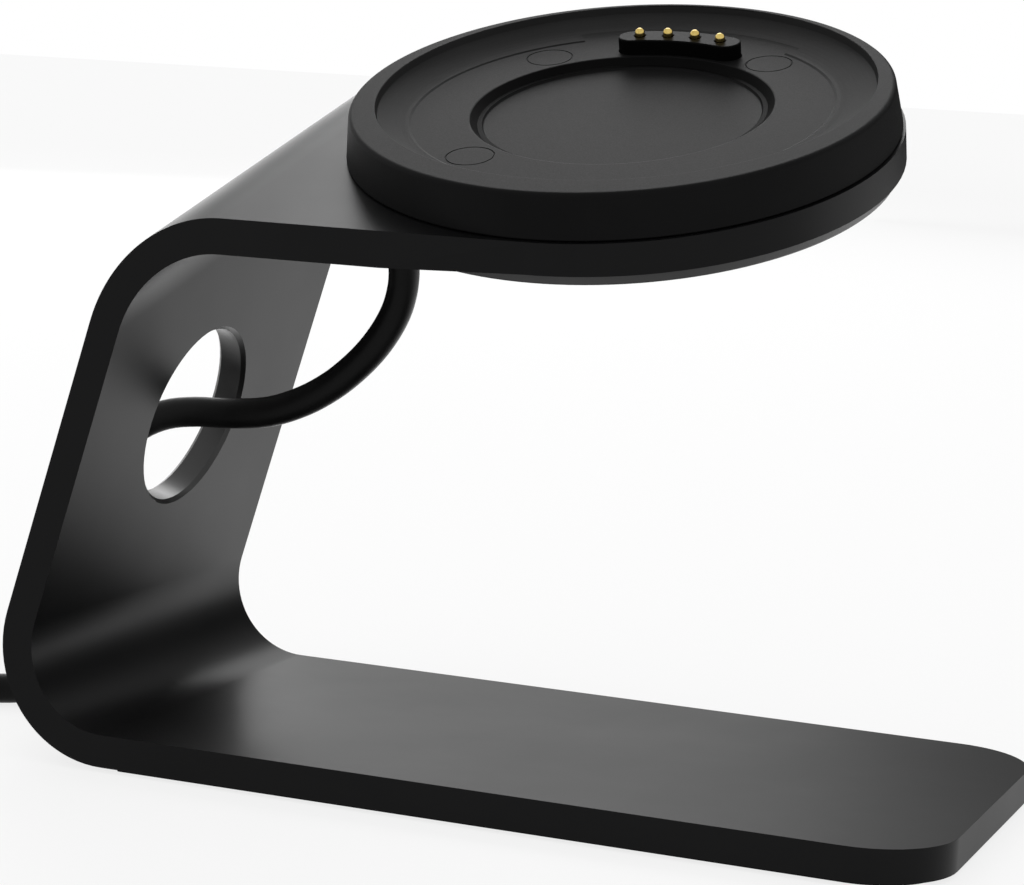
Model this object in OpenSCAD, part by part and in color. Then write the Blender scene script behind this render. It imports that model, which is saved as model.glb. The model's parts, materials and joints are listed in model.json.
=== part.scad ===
// Smartwatch charging dock: one bent metal plate carries a round charging cradle on its tilted arm.
// Millimetres, Z up. The base lies along X, its front long edge faces -Y.
// The origin is on the table, in the middle of the dock without its cable.

/* [Stand plate] */
// Width of the base and of the upright
stand_w = 45; // [36:0.5:60]
// Thickness of the bent plate
plate_t = 3.2; // [2:0.1:5]
// Length of the base from the corner line of the lower bend to its end
base_len = 97.4; // [85:0.1:120]
// Corner radius at the free end of the base
base_corner_r = 8.5; // [2:0.5:15]
// Height of the arm's top face over the base's underside, at the front edge
arm_h = 54; // [46:0.5:75]
// Lean of the upright from vertical, towards the cradle
lean = 15.6; // [5:0.1:22]
// Roll of the arm, which turns the watch face to the front
arm_tilt = 19.7; // [5:0.1:25]
// Inner radius of the lower bend
lower_bend_r = 8; // [4:0.5:12]
// Inner radius of the upper bend
upper_bend_r = 10.3; // [4:0.1:13]
// Diameter of the cable hole in the upright
hole_d = 18.7; // [10:0.1:24]
// Distance of the hole's centre up the outer face, from the lower corner line
hole_up = 34; // [26:0.5:38]
// Chamfer on both rims of the cable hole
hole_chamfer = 0.4; // [0.1:0.1:0.8]
// Thickness of the soft pad under the base
pad_t = 0.5; // [0.3:0.1:1.5]
// Inset of the pad from the base's outline
pad_inset = 1.2; // [0.5:0.1:4]

/* [Disc at the arm's end] */
// Diameter of the disc that carries the cradle
disc_d = 54.4; // [50:0.1:60]
// Distance of the disc's centre from the corner line of the lower bend
disc_x = 55.8; // [52:0.1:70]
// Diameter of the opening through the disc for the electronics
opening_d = 43; // [40:0.5:44]

/* [Cradle] */
// Diameter of the cradle at its foot
cradle_d = 53.9; // [50:0.1:58]
// Diameter of the cradle at its rim
cradle_top_d = 52.7; // [50:0.1:56]
// Height of the cradle's rim over the arm
cradle_h = 4.5; // [4.2:0.1:6]
// Height of the shadow groove between cradle and arm
groove_h = 0.4; // [0.2:0.1:0.8]
// Depth of the shadow groove
groove_in = 0.6; // [0.3:0.1:1]
// Edge radius of the rim, outside and inside
rim_r = 0.5; // [0.2:0.1:0.8]
// Inner diameter of the rim
rim_inner_d = 47.8; // [44:0.1:50]
// Diameter of the watch seat's floor
floor_d = 41.2; // [40:0.1:43]
// Depth of the seat's floor under the rim
floor_depth = 1.7; // [1:0.1:2.2]
// Diameter of the sensor well's mouth in the floor
well_d = 29.6; // [24:0.1:29.8]
// Diameter of the sensor well's own floor
well_floor_d = 27.2; // [20:0.1:28]
// Depth of the sensor well under the seat's floor
well_depth = 0.9; // [0.4:0.1:1.1]
// Radius of the flat pocket beside the contact block
pocket_r = 22.6; // [21:0.1:23]
// Wall thickness of the moulded shells
shell_t = 1.0; // [0.8:0.1:1.2]
// Clearance between parts that are assembled by hand
fit_gap = 0.15; // [0.05:0.05:0.3]

/* [Contacts] */
// Number of sprung contacts
CONTACTS = 4;
// Direction of the contact block from the cradle's centre
contact_angle = 88; // [86:1:94]
// Radius of the arc on which the contacts stand
contact_r = 16.8; // [16.4:0.1:17.2]
// Distance between neighbouring contacts along the arc
contact_pitch = 2.9; // [2.6:0.1:3.2]
// Width of the contact block across the arc
block_w = 3.0; // [2.6:0.1:3.2]
// Length that the block runs past its outer contacts
block_end = 2.2; // [1.8:0.1:3]
// Height of the block over the seat's floor
block_h = 1.5; // [1.2:0.1:1.7]
// Rim that holds the block under the seat's floor
block_flange = 0.4; // [0.2:0.1:0.5]
// Thickness of that rim
block_flange_t = 0.7; // [0.4:0.1:0.9]
// Diameter of a contact pin
pin_d = 1.0; // [0.8:0.05:1.1]
// Height of a pin's tip over the block
pin_out = 0.8; // [0.5:0.05:1.2]
// Travel of a pin when a watch is set down
pin_travel = 0.6; // [0.3:0.05:0.7]
// Radial clearance of a pin in its guides
pin_play = 0.04; // [0.02:0.01:0.08]
// Diameter of the collar that keeps a pin in its barrel
pin_collar_d = 1.16; // [1.14:0.01:1.2]
// Length of that collar
pin_collar_h = 0.6; // [0.4:0.05:0.8]
// Outer diameter of a contact's barrel
barrel_d = 1.56; // [1.5:0.02:1.7]
// Thickness of a barrel's closed foot and of its lip
barrel_lip = 0.3; // [0.2:0.05:0.4]
// Wire diameter of a contact spring
spring_wire = 0.14; // [0.1:0.01:0.16]
// Number of turns of a contact spring
spring_turns = 6; // [4:1:8]

/* [Electronics and magnets] */
// Diameter of the circuit board
board_d = 39; // [38:0.5:41]
// Thickness of the circuit board
board_t = 1.0; // [0.8:0.1:1.2]
// Depth of the board's top face under the arm's top face
board_down = 0.5; // [0.3:0.1:0.8]
// Side of the square main chip
chip_side = 4; // [3:0.1:4.4]
// Distance of the main chip's far side from the board's centre
chip_left = 7; // [6.5:0.1:8]
// Width of the driver chip
driver_w = 3; // [2.5:0.1:3.5]
// Length of the driver chip
driver_l = 5; // [4:0.1:5.5]
// Height of the chips
chip_h = 0.8; // [0.6:0.1:0.9]
// Diameter of a magnet
magnet_d = 5; // [4:0.1:5.4]
// Thickness of a magnet
magnet_t = 1.2; // [0.8:0.1:1.5]
// Radius at which the magnets sit
magnet_r = 17.6; // [17:0.1:17.8]
// Depth and width of the ring groove over each magnet
magnet_mark = 0.15; // [0.1:0.05:0.3]

/* [Bottom cover and screws] */
// Diameter of the bottom cover
cover_d = 53.4; // [50:0.1:57]
// Thickness of the cover under the arm
cover_t = 1.2; // [1:0.1:2]
// Slope of the cover's side
cover_draft = 0.3; // [0.1:0.1:0.8]
// Thread diameter of a cover screw
screw_d = 2.0; // [1.6:0.1:2.2]
// Head diameter of a cover screw
screw_head_d = 3.6; // [3:0.1:3.8]
// Head height of a cover screw
screw_head_h = 1.1; // [0.9:0.1:1.3]
// Depth of the screw heads in the cover
screw_sunk = 0.2; // [0.1:0.1:0.4]
// Radius at which the screws sit
screw_r = 17.2; // [16.8:0.1:17.4]
// Diameter of the posts round the screws
post_d = 4.8; // [4.4:0.1:5]

/* [Cable] */
// Diameter of the cable
cable_d = 3.1; // [2.6:0.1:3.4]
// Place of the cable's exit along the arm, from the disc's centre
exit_x = -20.5; // [-21:0.1:-19]
// Place of the cable's exit across the arm, from the disc's centre
exit_v = -9.2; // [-10:0.1:-8]
// Length of the strain relief under the cover
relief_len = 6; // [4:0.5:7]
// Diameter of the strain relief at its foot
relief_d = 5.6; // [5:0.1:6.4]
// Diameter of the strain relief at its tip
relief_tip_d = 4.1; // [3.6:0.1:4.6]
// Middle diameter of the coiled cable
coil_d = 33; // [31:0.5:36]
// Turns from the coil's outside to its inside
coil_turns = 4.1; // [2:0.1:4.5]
// Distance between neighbouring turns
turn_pitch = 3.2; // [3.1:0.05:3.5]
// Width of the tie round the coil
tie_w = 4; // [3:0.5:6]
// Thickness of the tie
tie_t = 0.8; // [0.5:0.1:1.2]

/* [Plug] */
// Length of the plug's moulded housing
plug_len = 17; // [15:0.5:26]
// Width of the plug's housing
plug_w = 15; // [14:0.1:17]
// Height of the plug's housing
plug_h = 7; // [6.5:0.1:9]
// Length of the moulded sleeve behind the plug
sleeve_len = 7; // [5:0.5:10]
// Length of the plug's metal shell
shell_len = 12; // [11.8:0.1:14]
// Width of the plug's metal shell
shell_w = 12; // [11.9:0.1:12.1]
// Height of the plug's metal shell
shell_h = 4.5; // [4.4:0.1:4.6]
// Sheet thickness of the plug's metal shell
sheet_t = 0.3; // [0.25:0.05:0.4]
// Height of the plastic tongue in the shell
tongue_h = 1.9; // [1.8:0.1:2]
// Clearance between the tongue and each side of the shell
tongue_gap = 0.25; // [0.2:0.05:0.4]

/* [Hidden] */
$fn = 96;
eps = 0.01;
// How much thinner a strip's free end is on each face, where it sinks into its neighbour
sunk = 0.03;

// Angles and places of the pieces round the disc
MAGNET_ANGLES = [54, 134, 236];
SCREW_ANGLES = [8, 180, 290];
POCKET_ANGLES = [57, 120];

// Bends of the plate
lower_outer_r = lower_bend_r + plate_t;
upper_outer_r = upper_bend_r + plate_t;
lower_corner = 90 - lean;
lower_run = lower_outer_r / tan(lower_corner / 2);
fold_turn = acos(sin(lean) * cos(arm_tilt));
upper_corner = 180 - fold_turn;
upper_run = upper_outer_r / tan(upper_corner / 2);
fold_dir = unit([tan(arm_tilt) * tan(lean), 1, tan(arm_tilt)]);
arm_up = [0, -sin(arm_tilt), cos(arm_tilt)];
arm_along = cross(fold_dir, arm_up);
disc_r = disc_d / 2;
disc_v = disc_r;

// Dock's box without its cable, which sets the origin
box_left = lower_run - lower_outer_r;
rim_front = disc_v - cradle_top_d / 2;
box_front = min(0, (rim_front + rim_r) * cos(arm_tilt) - cradle_h * sin(arm_tilt),
    rim_front * cos(arm_tilt) - (cradle_h - rim_r) * sin(arm_tilt));
box_back = max((disc_v + disc_r) * cos(arm_tilt) + plate_t * sin(arm_tilt), stand_w);
origin_x = (box_left + base_len) / 2;
origin_y = (box_front + box_back) / 2;

// Heights over the arm's top face, at the cradle
floor_top = cradle_h - floor_depth;
floor_under = floor_top - shell_t;
well_top = floor_top - well_depth;
well_under = well_top - shell_t;
block_top = floor_top + block_h;
board_top = -board_down;
board_under = board_top - board_t;
cover_top = -plate_t;
cover_under = cover_top - cover_t;
spigot_r = opening_d / 2 - fit_gap;
spigot_h = plate_t / 2 - 0.1;
cavity_r = spigot_r - shell_t;

// Contacts
contact_step = contact_pitch / contact_r * 180 / PI;
block_half = (CONTACTS - 1) / 2 * contact_step + (block_end - block_w / 2) / contact_r * 180 / PI;
barrel_top = block_top - 0.9;
barrel_bore_r = pin_collar_d / 2 + pin_play;
collar_top = barrel_top - barrel_lip - 0.05;
spring_foot = board_top + barrel_lip;
spring_top = collar_top - pin_collar_h;
spring_r = barrel_bore_r - spring_wire / 2 - 0.03;

// Cable and plug
coil_layers = 2;
coil_w = coil_turns * turn_pitch + cable_d;
coil_h = (coil_layers - 1) * turn_pitch + cable_d;
coil_outer_turn = coil_d / 2 + (coil_w - cable_d) / 2;
coil_centre = [-92.5, -1];
route = [
    [-15.2, -5.9, 52.4], [-15.2, -5.2, 50.6], [-15.3, -4.5, 48.8], [-15.7, -3.9, 46.9],
    [-16.4, -3.5, 44.9], [-17.5, -3.4, 42.8], [-19.0, -3.4, 40.7], [-20.9, -3.4, 38.7],
    [-23.2, -3.4, 36.8], [-26.2, -3.4, 35.0], [-29.9, -3.4, 33.6], [-34.2, -3.4, 33.0],
    [-38.2, -3.4, 32.8], [-41.6, -3.4, 32.2], [-44.6, -3.4, 30.8], [-47.0, -3.4, 28.6],
    [-48.6, -3.4, 25.8], [-49.3, -3.4, 22.6], [-49.5, -3.4, 18.0], [-49.6, -3.4, 13.5],
    [-49.8, -3.4, 9.9], [-50.9, -3.5, 6.2], [-53.2, -3.9, 3.4], [-56.3, -4.6, 1.9],
    [-59.9, -6.2, 1.6], [-63.6, -8.6, 1.6], [-67.6, -11.3, 1.6], [-71.4, -14.0, 1.6],
    [-75.4, -16.8, 1.6]];
tail_y = coil_centre.y - coil_outer_turn;
tail_h = coil_h - cable_d / 2;
tail = [[coil_centre.x - 1, tail_y, tail_h], [coil_centre.x - 4, tail_y, tail_h],
    [coil_centre.x - 7, tail_y, 4.4], [coil_centre.x - 10, tail_y, 3.9],
    [coil_centre.x - 13, tail_y, plug_h / 2], [coil_centre.x - 16, tail_y, plug_h / 2]];
plug_start = coil_centre.x - 16;

plate_colour = [0.10, 0.10, 0.105];
moulding_colour = [0.16, 0.16, 0.165];
soft_colour = [0.07, 0.07, 0.07];
gold_colour = [0.83, 0.68, 0.35];
steel_colour = [0.72, 0.72, 0.74];
board_colour = [0.06, 0.25, 0.14];

function unit(v) = v / norm(v);
function on_arc(r, a) = [r * cos(a), r * sin(a)];

// Moves from the plate's own frame, with its lower corner line at X 0 and its underside at Z 0
module in_place() {
    translate([-origin_x, -origin_y, pad_t])
        children();
}

// Frame of the arm: origin at the disc's centre on the arm's top face, Z square to the arm
module on_arm() {
    in_place()
        translate([disc_x, 0, arm_h])
            rotate([arm_tilt, 0, 0])
                translate([0, disc_v, 0])
                    children();
}

// Points of an arc round c, from angle a to angle b
function arc(c, r, a, b, steps = 24) = [for (k = [0:steps]) c + on_arc(r, a + (b - a) * k / steps)];

// Base, lower bend and upright, seen from the front
module lower_section(upright_len) {
    centre = [lower_run, lower_outer_r];
    up = [sin(lean), cos(lean)];
    across = [cos(lean), -sin(lean)];
    polygon(concat(
        [[2 * base_len, plate_t], [2 * base_len, 0]],
        arc(centre, lower_outer_r, 270, 180 - lean),
        [upright_len * up + sunk * across, upright_len * up + (plate_t - sunk) * across],
        arc(centre, lower_bend_r, 180 - lean, 270)));
}

// Arm, upper bend and upright, seen along the fold
module upper_section(upright_len) {
    centre = [upper_run, -upper_outer_r];
    foot = on_arc(upright_len, -upper_corner);
    polygon(concat(
        [[2 * disc_x, -plate_t + sunk], [2 * disc_x, -sunk]],
        arc(centre, upper_outer_r, 90, 90 + fold_turn),
        [foot, foot + on_arc(plate_t, 90 - upper_corner)],
        arc(centre, upper_bend_r, 90 + fold_turn, 90)));
}

// Rounded plan of the base, larger by grow and starting at x
module base_plan(x, grow) {
    r = base_corner_r + grow;
    far = base_len + grow;
    translate([x, -grow])
        square([far - r - x, stand_w + 2 * grow]);
    translate([far - 2 * r, r - grow])
        square([2 * r, stand_w + 2 * grow - 2 * r]);
    for (y = [base_corner_r, stand_w - base_corner_r])
        translate([far - r, y])
            circle(r = r);
}

// Plan of the strip up to the disc: straight in front, flared to the disc behind
module arm_plan() {
    flare_x = arm_h * tan(lean) + stand_w * tan(arm_tilt) * tan(lean) + upper_run;
    flare = [flare_x - disc_x, stand_w / cos(arm_tilt) - disc_v];
    touch = atan2(flare.y, flare.x) - acos(disc_r / norm(flare));
    touch_point = on_arc(disc_r, touch);
    polygon([[-disc_x, 0], [disc_x, 0], [disc_x + touch_point.x, (disc_v + touch_point.y) * cos(arm_tilt)],
        [flare_x, stand_w], [-disc_x, stand_w]]);
}

// Sliver at the arm's front edge, where its upright face turns into the disc's square one
module front_runout() {
    run = 14;
    low = plate_t / cos(arm_tilt);
    touch = [disc_x, plate_t * sin(arm_tilt), arm_h - plate_t * cos(arm_tilt)];
    front = [[disc_x - run, 0, arm_h - low], [disc_x, 0, arm_h], touch, [disc_x, -low, arm_h - 2 * low]];
    polyhedron(front, [[0, 2, 1], [0, 1, 3], [1, 2, 3], [0, 3, 2]]);
}

module stand() {
    upright_len = arm_h / cos(lean);
    straight = upright_len - lower_run - upper_run;
    overlap_h = (lower_run + 0.3 * straight) * cos(lean);
    color(plate_colour)
        in_place()
            difference() {
                union() {
                    intersection() {
                        translate([0, 2 * stand_w, 0])
                            rotate([90, 0, 0])
                                linear_extrude(3 * stand_w)
                                    lower_section(lower_run + 0.6 * straight);
                        translate([0, 0, -1])
                            linear_extrude(2 * arm_h)
                                base_plan(-disc_x, 0);
                    }
                    difference() {
                        intersection() {
                            multmatrix([
                                [arm_along.x, arm_up.x, -fold_dir.x, arm_h * tan(lean)],
                                [arm_along.y, arm_up.y, -fold_dir.y, 0],
                                [arm_along.z, arm_up.z, -fold_dir.z, arm_h],
                                [0, 0, 0, 1]])
                                linear_extrude(4 * stand_w, center = true)
                                    upper_section(2 * upright_len);
                            translate([0, 0, overlap_h])
                                linear_extrude(2 * arm_h)
                                    arm_plan();
                        }
                        front_runout();
                    }
                    translate([disc_x, 0, arm_h])
                        rotate([arm_tilt, 0, 0])
                            translate([0, disc_v, -plate_t])
                                cylinder(r = disc_r, h = plate_t);
                }
                translate([disc_x, 0, arm_h])
                    rotate([arm_tilt, 0, 0])
                        translate([0, disc_v, -1.5 * plate_t])
                            cylinder(d = opening_d, h = 2 * plate_t);
                translate([hole_up * sin(lean), stand_w / 2, hole_up * cos(lean)])
                    rotate([0, 90 + lean, 0])
                        cable_hole();
            }
}

// Drill with a chamfer at both faces of the plate
module cable_hole() {
    flare = hole_d / 2 + hole_chamfer + eps;
    translate([0, 0, -plate_t])
        cylinder(d = hole_d, h = 3 * plate_t);
    translate([0, 0, -eps])
        cylinder(r1 = flare, r2 = hole_d / 2, h = hole_chamfer + eps);
    translate([0, 0, plate_t - hole_chamfer])
        cylinder(r1 = hole_d / 2, r2 = flare, h = hole_chamfer + eps);
}

module base_pad() {
    color(soft_colour)
        in_place()
            translate([0, 0, -pad_t])
                linear_extrude(pad_t)
                    base_plan(lower_run + pad_inset, -pad_inset);
}

// Half section of the cradle's shell, from the axis outwards
module cradle_section() {
    foot_r = cradle_d / 2;
    top_r = cradle_top_d / 2;
    inner_r = rim_inner_d / 2;
    polygon([
        [0, well_under], [well_floor_d / 2 + shell_t, well_under],
        [well_floor_d / 2 + shell_t, floor_under], [cavity_r, floor_under],
        [cavity_r, -spigot_h], [spigot_r, -spigot_h], [spigot_r, 0],
        [foot_r - groove_in, 0], [foot_r - groove_in, groove_h], [foot_r, groove_h],
        [top_r, cradle_h - rim_r], [top_r - rim_r * 0.3, cradle_h - rim_r * 0.3], [top_r - rim_r, cradle_h],
        [inner_r + rim_r, cradle_h], [inner_r, cradle_h - rim_r * 0.4],
        [floor_d / 2 + 0.8, floor_top + 0.35], [floor_d / 2, floor_top],
        [well_d / 2, floor_top], [well_floor_d / 2, well_top], [0, well_top]]);
}

// Plan of the contact block, an arc with round ends, wider by grow
module block_plan(grow) {
    half = block_w / 2 + grow;
    reach = 2 * contact_r;
    intersection() {
        difference() {
            circle(r = contact_r + half);
            circle(r = contact_r - half);
        }
        polygon([[0, 0], on_arc(reach, contact_angle - block_half), on_arc(reach, contact_angle + block_half)]);
    }
    for (side = [-1, 1])
        translate(on_arc(contact_r, contact_angle + side * block_half))
            circle(r = half, $fn = 48);
}

// Plan of the flat pocket that the sloped bank leaves beside the contact block
module pocket_plan() {
    reach = 2 * pocket_r;
    intersection() {
        circle(r = pocket_r);
        polygon([[0, 0], for (a = POCKET_ANGLES) on_arc(reach, a)]);
    }
}

module cradle() {
    color(moulding_colour)
        on_arm()
            difference() {
                union() {
                    rotate_extrude()
                        cradle_section();
                    for (a = SCREW_ANGLES)
                        translate(concat(on_arc(screw_r, a), board_top))
                            cylinder(d = post_d, h = floor_under - board_top + eps, $fn = 48);
                }
                translate([0, 0, floor_under - eps])
                    linear_extrude(floor_depth + shell_t)
                        block_plan(fit_gap / 2);
                translate([0, 0, floor_top])
                    linear_extrude(cradle_h)
                        pocket_plan();
                for (a = SCREW_ANGLES)
                    translate(concat(on_arc(screw_r, a), board_top - eps))
                        cylinder(d = screw_d + 2 * pin_play, h = floor_under - board_top, $fn = 48);
                for (a = MAGNET_ANGLES)
                    translate(concat(on_arc(magnet_r, a), floor_top - magnet_mark))
                        difference() {
                            cylinder(d = magnet_d + 2 * magnet_mark, h = 2 * magnet_mark, $fn = 48);
                            cylinder(d = magnet_d, h = 6 * magnet_mark, center = true, $fn = 48);
                        }
            }
}

module contact_block() {
    color(moulding_colour)
        on_arm()
            difference() {
                union() {
                    translate([0, 0, floor_under - block_flange_t])
                        linear_extrude(block_flange_t)
                            block_plan(block_flange);
                    translate([0, 0, floor_under - eps])
                        linear_extrude(block_top - floor_under + eps)
                            block_plan(0);
                }
                at_contacts() {
                    translate([0, 0, floor_under - block_flange_t - eps])
                        cylinder(d = barrel_d + fit_gap, h = barrel_top + 0.05 - floor_under + block_flange_t, $fn = 32);
                    cylinder(d = pin_d + 2 * pin_play, h = cradle_h + 1, $fn = 32);
                }
            }
}

// Places its children at every contact
module at_contacts() {
    for (k = [1:CONTACTS])
        at_contact(k)
            children();
}

module at_contact(k) {
    angle = contact_angle + ((CONTACTS + 1) / 2 - k) * contact_step;
    translate(concat(on_arc(contact_r, angle), 0))
        children();
}

// One sprung pin with its collar and domed tip
module contact_pin(k) {
    dome = pin_d / 2;
    tip = block_top + pin_out;
    color(gold_colour)
        on_arm()
            at_contact(k) {
                translate([0, 0, spring_top])
                    cylinder(d = pin_collar_d, h = pin_collar_h, $fn = 32);
                translate([0, 0, collar_top - eps])
                    cylinder(r = dome, h = tip - dome - collar_top + eps, $fn = 32);
                translate([0, 0, tip - dome])
                    intersection() {
                        sphere(r = dome, $fn = 32);
                        translate([-dome, -dome, 0])
                            cube(2 * dome);
                    }
            }
}

module contact_pin_1() { contact_pin(1); }
module contact_pin_2() { contact_pin(2); }
module contact_pin_3() { contact_pin(3); }
module contact_pin_4() { contact_pin(4); }

module pin_barrels() {
    color(gold_colour)
        on_arm()
            at_contacts()
                translate([0, 0, board_top])
                    difference() {
                        cylinder(d = barrel_d, h = barrel_top - board_top, $fn = 32);
                        translate([0, 0, barrel_lip])
                            cylinder(r = barrel_bore_r, h = barrel_top - board_top - 2 * barrel_lip, $fn = 32);
                        translate([0, 0, 2 * barrel_lip])
                            cylinder(d = pin_d + 2 * pin_play, h = barrel_top - board_top, $fn = 32);
                    }
}

// Spring of stacked rings, from the barrel's foot to the pin's collar
module contact_spring(k) {
    gap = 0.04;
    pitch = (spring_top - spring_foot - 2 * gap - spring_wire) / spring_turns;
    color(steel_colour)
        on_arm()
            at_contact(k)
                translate([0, 0, spring_foot + gap + spring_wire / 2])
                    union() {
                        for (k = [0:spring_turns])
                            translate([0, 0, k * pitch])
                                rotate_extrude($fn = 24)
                                    translate([spring_r, 0])
                                        circle(d = spring_wire, $fn = 16);
                        for (k = [0:spring_turns - 1])
                            rotate(180 * k)
                                translate([spring_r, 0, k * pitch])
                                    cylinder(d = 0.9 * spring_wire, h = pitch, $fn = 16);
                    }
}

module contact_spring_1() { contact_spring(1); }
module contact_spring_2() { contact_spring(2); }
module contact_spring_3() { contact_spring(3); }
module contact_spring_4() { contact_spring(4); }

module circuit_board() {
    color(board_colour)
        on_arm()
            translate([0, 0, board_under])
                difference() {
                    cylinder(d = board_d, h = board_t);
                    for (a = SCREW_ANGLES)
                        translate(concat(on_arc(screw_r, a), -eps))
                            cylinder(d = screw_d + 2 * fit_gap, h = board_t + 2 * eps, $fn = 48);
                }
}

// Chips on the board's upper face, under the sensor well
module board_chips() {
    places = [[-chip_left, -chip_side], [driver_w, -driver_l], [-chip_side / 2, chip_side]];
    plans = [[chip_side, chip_side], [driver_w, driver_l], [chip_side, chip_side / 2]];
    color([0.08, 0.08, 0.09])
        on_arm()
            for (i = [0:len(places) - 1])
                translate(concat(places[i], board_top))
                    cube(concat(plans[i], chip_h));
}

module magnets() {
    color(steel_colour)
        on_arm()
            for (a = MAGNET_ANGLES)
                translate(concat(on_arc(magnet_r, a), floor_under - magnet_t - 0.02))
                    cylinder(d = magnet_d, h = magnet_t, $fn = 48);
}

module bottom_cover() {
    post_h = board_under - cover_under;
    head_room = screw_sunk + screw_head_h;
    color(moulding_colour)
        on_arm()
            difference() {
                union() {
                    translate([0, 0, cover_under])
                        cylinder(d1 = cover_d - 2 * cover_draft, d2 = cover_d, h = cover_t);
                    translate([0, 0, cover_top - eps])
                        difference() {
                            cylinder(r = spigot_r, h = spigot_h + eps);
                            cylinder(r = cavity_r, h = 3 * spigot_h, center = true);
                        }
                    for (a = SCREW_ANGLES)
                        translate(concat(on_arc(screw_r, a), cover_under + cover_t / 2))
                            cylinder(d = post_d, h = post_h - cover_t / 2, $fn = 48);
                }
                for (a = SCREW_ANGLES)
                    translate(concat(on_arc(screw_r, a), cover_under - eps)) {
                        cylinder(d = screw_d + 2 * fit_gap, h = post_h + 1, $fn = 48);
                        cylinder(d = screw_head_d + 2 * fit_gap, h = head_room + eps, $fn = 48);
                    }
            }
}

// Pan-head screws from below, each with a cross recess
module cover_screws() {
    head_under = cover_under + screw_sunk;
    slot = 0.5;
    color(steel_colour)
        on_arm()
            for (a = SCREW_ANGLES)
                translate(concat(on_arc(screw_r, a), head_under))
                    difference() {
                        union() {
                            cylinder(d1 = screw_head_d - 0.6, d2 = screw_head_d, h = 0.3, $fn = 48);
                            translate([0, 0, 0.3])
                                cylinder(d = screw_head_d, h = screw_head_h - 0.3, $fn = 48);
                            cylinder(d = screw_d, h = floor_under - head_under - 0.3, $fn = 48);
                        }
                        for (turn = [0, 90])
                            rotate(turn)
                                translate([-screw_head_d / 4, -slot / 2, -eps])
                                    cube([screw_head_d / 2, slot, 0.6]);
                    }
}

// Tapered sleeve under the cover, with a collar at its foot
module strain_relief() {
    color(soft_colour)
        on_arm()
            translate([exit_x, exit_v, cover_under - relief_len]) {
                cylinder(d1 = relief_tip_d, d2 = relief_d - 0.6, h = relief_len, $fn = 48);
                translate([0, 0, relief_len - 1.2])
                    cylinder(d = relief_d, h = 1.2, $fn = 48);
            }
}

// Round tube swept along a list of points
function heading(p, i) = unit(p[min(i + 1, len(p) - 1)] - p[max(i - 1, 0)]);
function carried(p, i) = i == 0 ? unit(cross(heading(p, 0), [1, 0.2, 0.1]))
    : let (n = carried(p, i - 1), t = heading(p, i)) unit(n - (n * t) * t);
function ring(p, i, r, sides) = let (t = heading(p, i), n = carried(p, i), m = cross(t, n))
    [for (k = [0:sides - 1]) p[i] + r * (cos(k * 360 / sides) * n + sin(k * 360 / sides) * m)];

module tube(p, d, sides = 8) {
    r = d / 2;
    last = len(p) - 1;
    points = [for (i = [0:last]) each ring(p, i, r, sides)];
    walls = [for (i = [0:last - 1], k = [0:sides - 1])
        [i * sides + k, i * sides + (k + 1) % sides, (i + 1) * sides + (k + 1) % sides, (i + 1) * sides + k]];
    start = [for (k = [sides - 1:-1:0]) k];
    finish = [for (k = [0:sides - 1]) last * sides + k];
    polyhedron(points, concat([start], walls, [finish]));
}

module charging_cable() {
    color(soft_colour)
        tube(route, cable_d);
}

// Closed outer shape of the coiled length
module cable_coil() {
    corner = cable_d / 2;
    half = [coil_w / 2 - corner, coil_h / 2 - corner];
    color(soft_colour)
        translate(concat(coil_centre, coil_h / 2))
            rotate_extrude()
                translate([coil_d / 2, 0]) {
                    square([2 * half.x, coil_h], center = true);
                    square([coil_w, 2 * half.y], center = true);
                    for (x = [-half.x, half.x], y = [-half.y, half.y])
                        translate([x, y])
                            circle(r = corner, $fn = 32);
                }
}

// Band that holds the turns together
module cable_tie() {
    color(soft_colour)
        translate(concat(coil_centre, 0))
            rotate(150)
                translate([(coil_d - coil_w) / 2 - tie_t, -tie_w / 2, 0])
                    difference() {
                        cube([coil_w + 2 * tie_t, tie_w, coil_h + tie_t]);
                        translate([tie_t, -tie_w / 2, tie_t])
                            cube([coil_w, 2 * tie_w, coil_h - tie_t]);
                    }
}

module plug_lead() {
    color(soft_colour)
        tube(tail, cable_d);
}

// Frame of the plug: origin where its sleeve starts, X along it
module at_plug() {
    translate([plug_start, tail_y, plug_h / 2])
        rotate(180)
            children();
}

module plug_sleeve() {
    color(soft_colour)
        at_plug()
            rotate([0, 90, 0])
                cylinder(d1 = relief_tip_d, d2 = relief_d, h = sleeve_len, $fn = 48);
}

module rounded_bar(size, r) {
    half = [size.y / 2 - r, size.z / 2 - r];
    rotate([90, 0, 90])
        linear_extrude(size.x) {
            square([size.y, 2 * half.y], center = true);
            square([2 * half.x, size.z], center = true);
            for (x = [-half.x, half.x], y = [-half.y, half.y])
                translate([x, y])
                    circle(r = r, $fn = 32);
        }
}

module plug_housing() {
    color(soft_colour)
        at_plug()
            translate([sleeve_len, 0, 0])
                rounded_bar([plug_len, plug_w, plug_h], 2);
}

// Folded sheet box with its two latch windows above and below
module plug_shell() {
    window = [2.2, 2.4];
    color(steel_colour)
        at_plug()
            translate([sleeve_len + plug_len, 0, 0])
                difference() {
                    rounded_bar([shell_len, shell_w, shell_h], 0.5);
                    translate([0.4, 0, 0])
                        rounded_bar([shell_len, shell_w - 2 * sheet_t, shell_h - 2 * sheet_t], 0.3);
                    for (side = [-1, 1])
                        translate([5, side * shell_w / 4 - window.y / 2, -shell_h])
                            cube([window.x, window.y, 2 * shell_h]);
                }
}

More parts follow.
